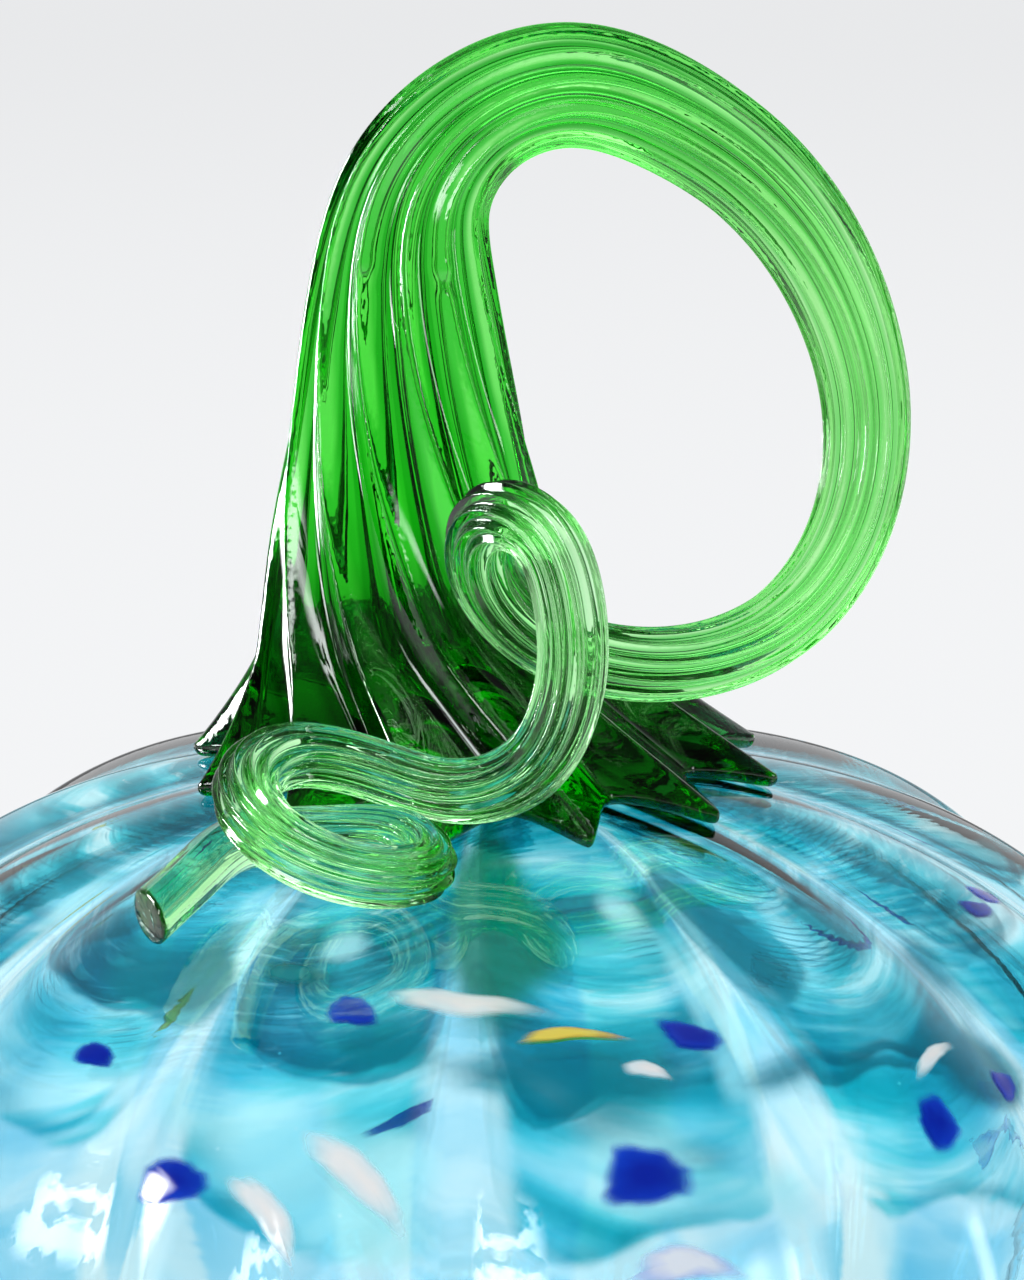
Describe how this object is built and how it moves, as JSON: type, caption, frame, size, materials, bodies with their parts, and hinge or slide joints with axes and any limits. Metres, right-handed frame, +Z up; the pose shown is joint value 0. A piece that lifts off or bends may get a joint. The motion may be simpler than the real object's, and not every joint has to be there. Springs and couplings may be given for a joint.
{
  "type": "glass pumpkin",
  "caption": "Hand-blown hollow glass pumpkin with a ribbed body, coloured frit in its skin and a solid ribbed stem that loops and curls over the top.",
  "frame": {"origin": "centre of the outline on the surface it stands on", "axes": "+Z up through the stem, -Y towards the side with the small curls, +X to the side with the big loop"},
  "size_m": [0.1806, 0.1804, 0.2074],
  "materials": {
    "aqua_glass": "polished, transparent, with fine ripples",
    "green_glass": "polished, transparent, ribbed",
    "cobalt_glass": "polished, dense colour",
    "white_glass": "polished, opal",
    "amber_glass": "polished, dense colour",
    "lilac_glass": "polished, opal",
    "sea_glass": "polished, dense colour"
  },
  "bodies": {
    "root": {"body_shell": "aqua_glass", "curled_stem": "green_glass", "frit_amber_01": "amber_glass", "frit_amber_02": "amber_glass", "frit_amber_03": "amber_glass", "frit_cobalt_01": "cobalt_glass", "frit_cobalt_02": "cobalt_glass", "frit_cobalt_03": "cobalt_glass", "frit_cobalt_04": "cobalt_glass", "frit_cobalt_05": "cobalt_glass", "frit_cobalt_06": "cobalt_glass", "frit_cobalt_07": "cobalt_glass", "frit_cobalt_08": "cobalt_glass", "frit_cobalt_09": "cobalt_glass", "frit_cobalt_10": "cobalt_glass", "frit_cobalt_11": "cobalt_glass", "frit_cobalt_12": "cobalt_glass", "frit_cobalt_13": "cobalt_glass", "frit_cobalt_14": "cobalt_glass", "frit_cobalt_15": "cobalt_glass", "frit_cobalt_16": "cobalt_glass", "frit_cobalt_17": "cobalt_glass", "frit_lilac_01": "lilac_glass", "frit_lilac_02": "lilac_glass", "frit_lilac_03": "lilac_glass", "frit_sea_01": "sea_glass", "frit_sea_02": "sea_glass", "frit_sea_03": "sea_glass", "frit_sea_04": "sea_glass", "frit_sea_05": "sea_glass", "frit_white_01": "white_glass", "frit_white_02": "white_glass", "frit_white_03": "white_glass", "frit_white_04": "white_glass", "frit_white_05": "white_glass", "frit_white_06": "white_glass", "frit_white_07": "white_glass", "frit_white_08": "white_glass", "frit_white_09": "white_glass", "frit_white_10": "white_glass", "frit_white_11": "white_glass"}
  },
  "joints": []
}
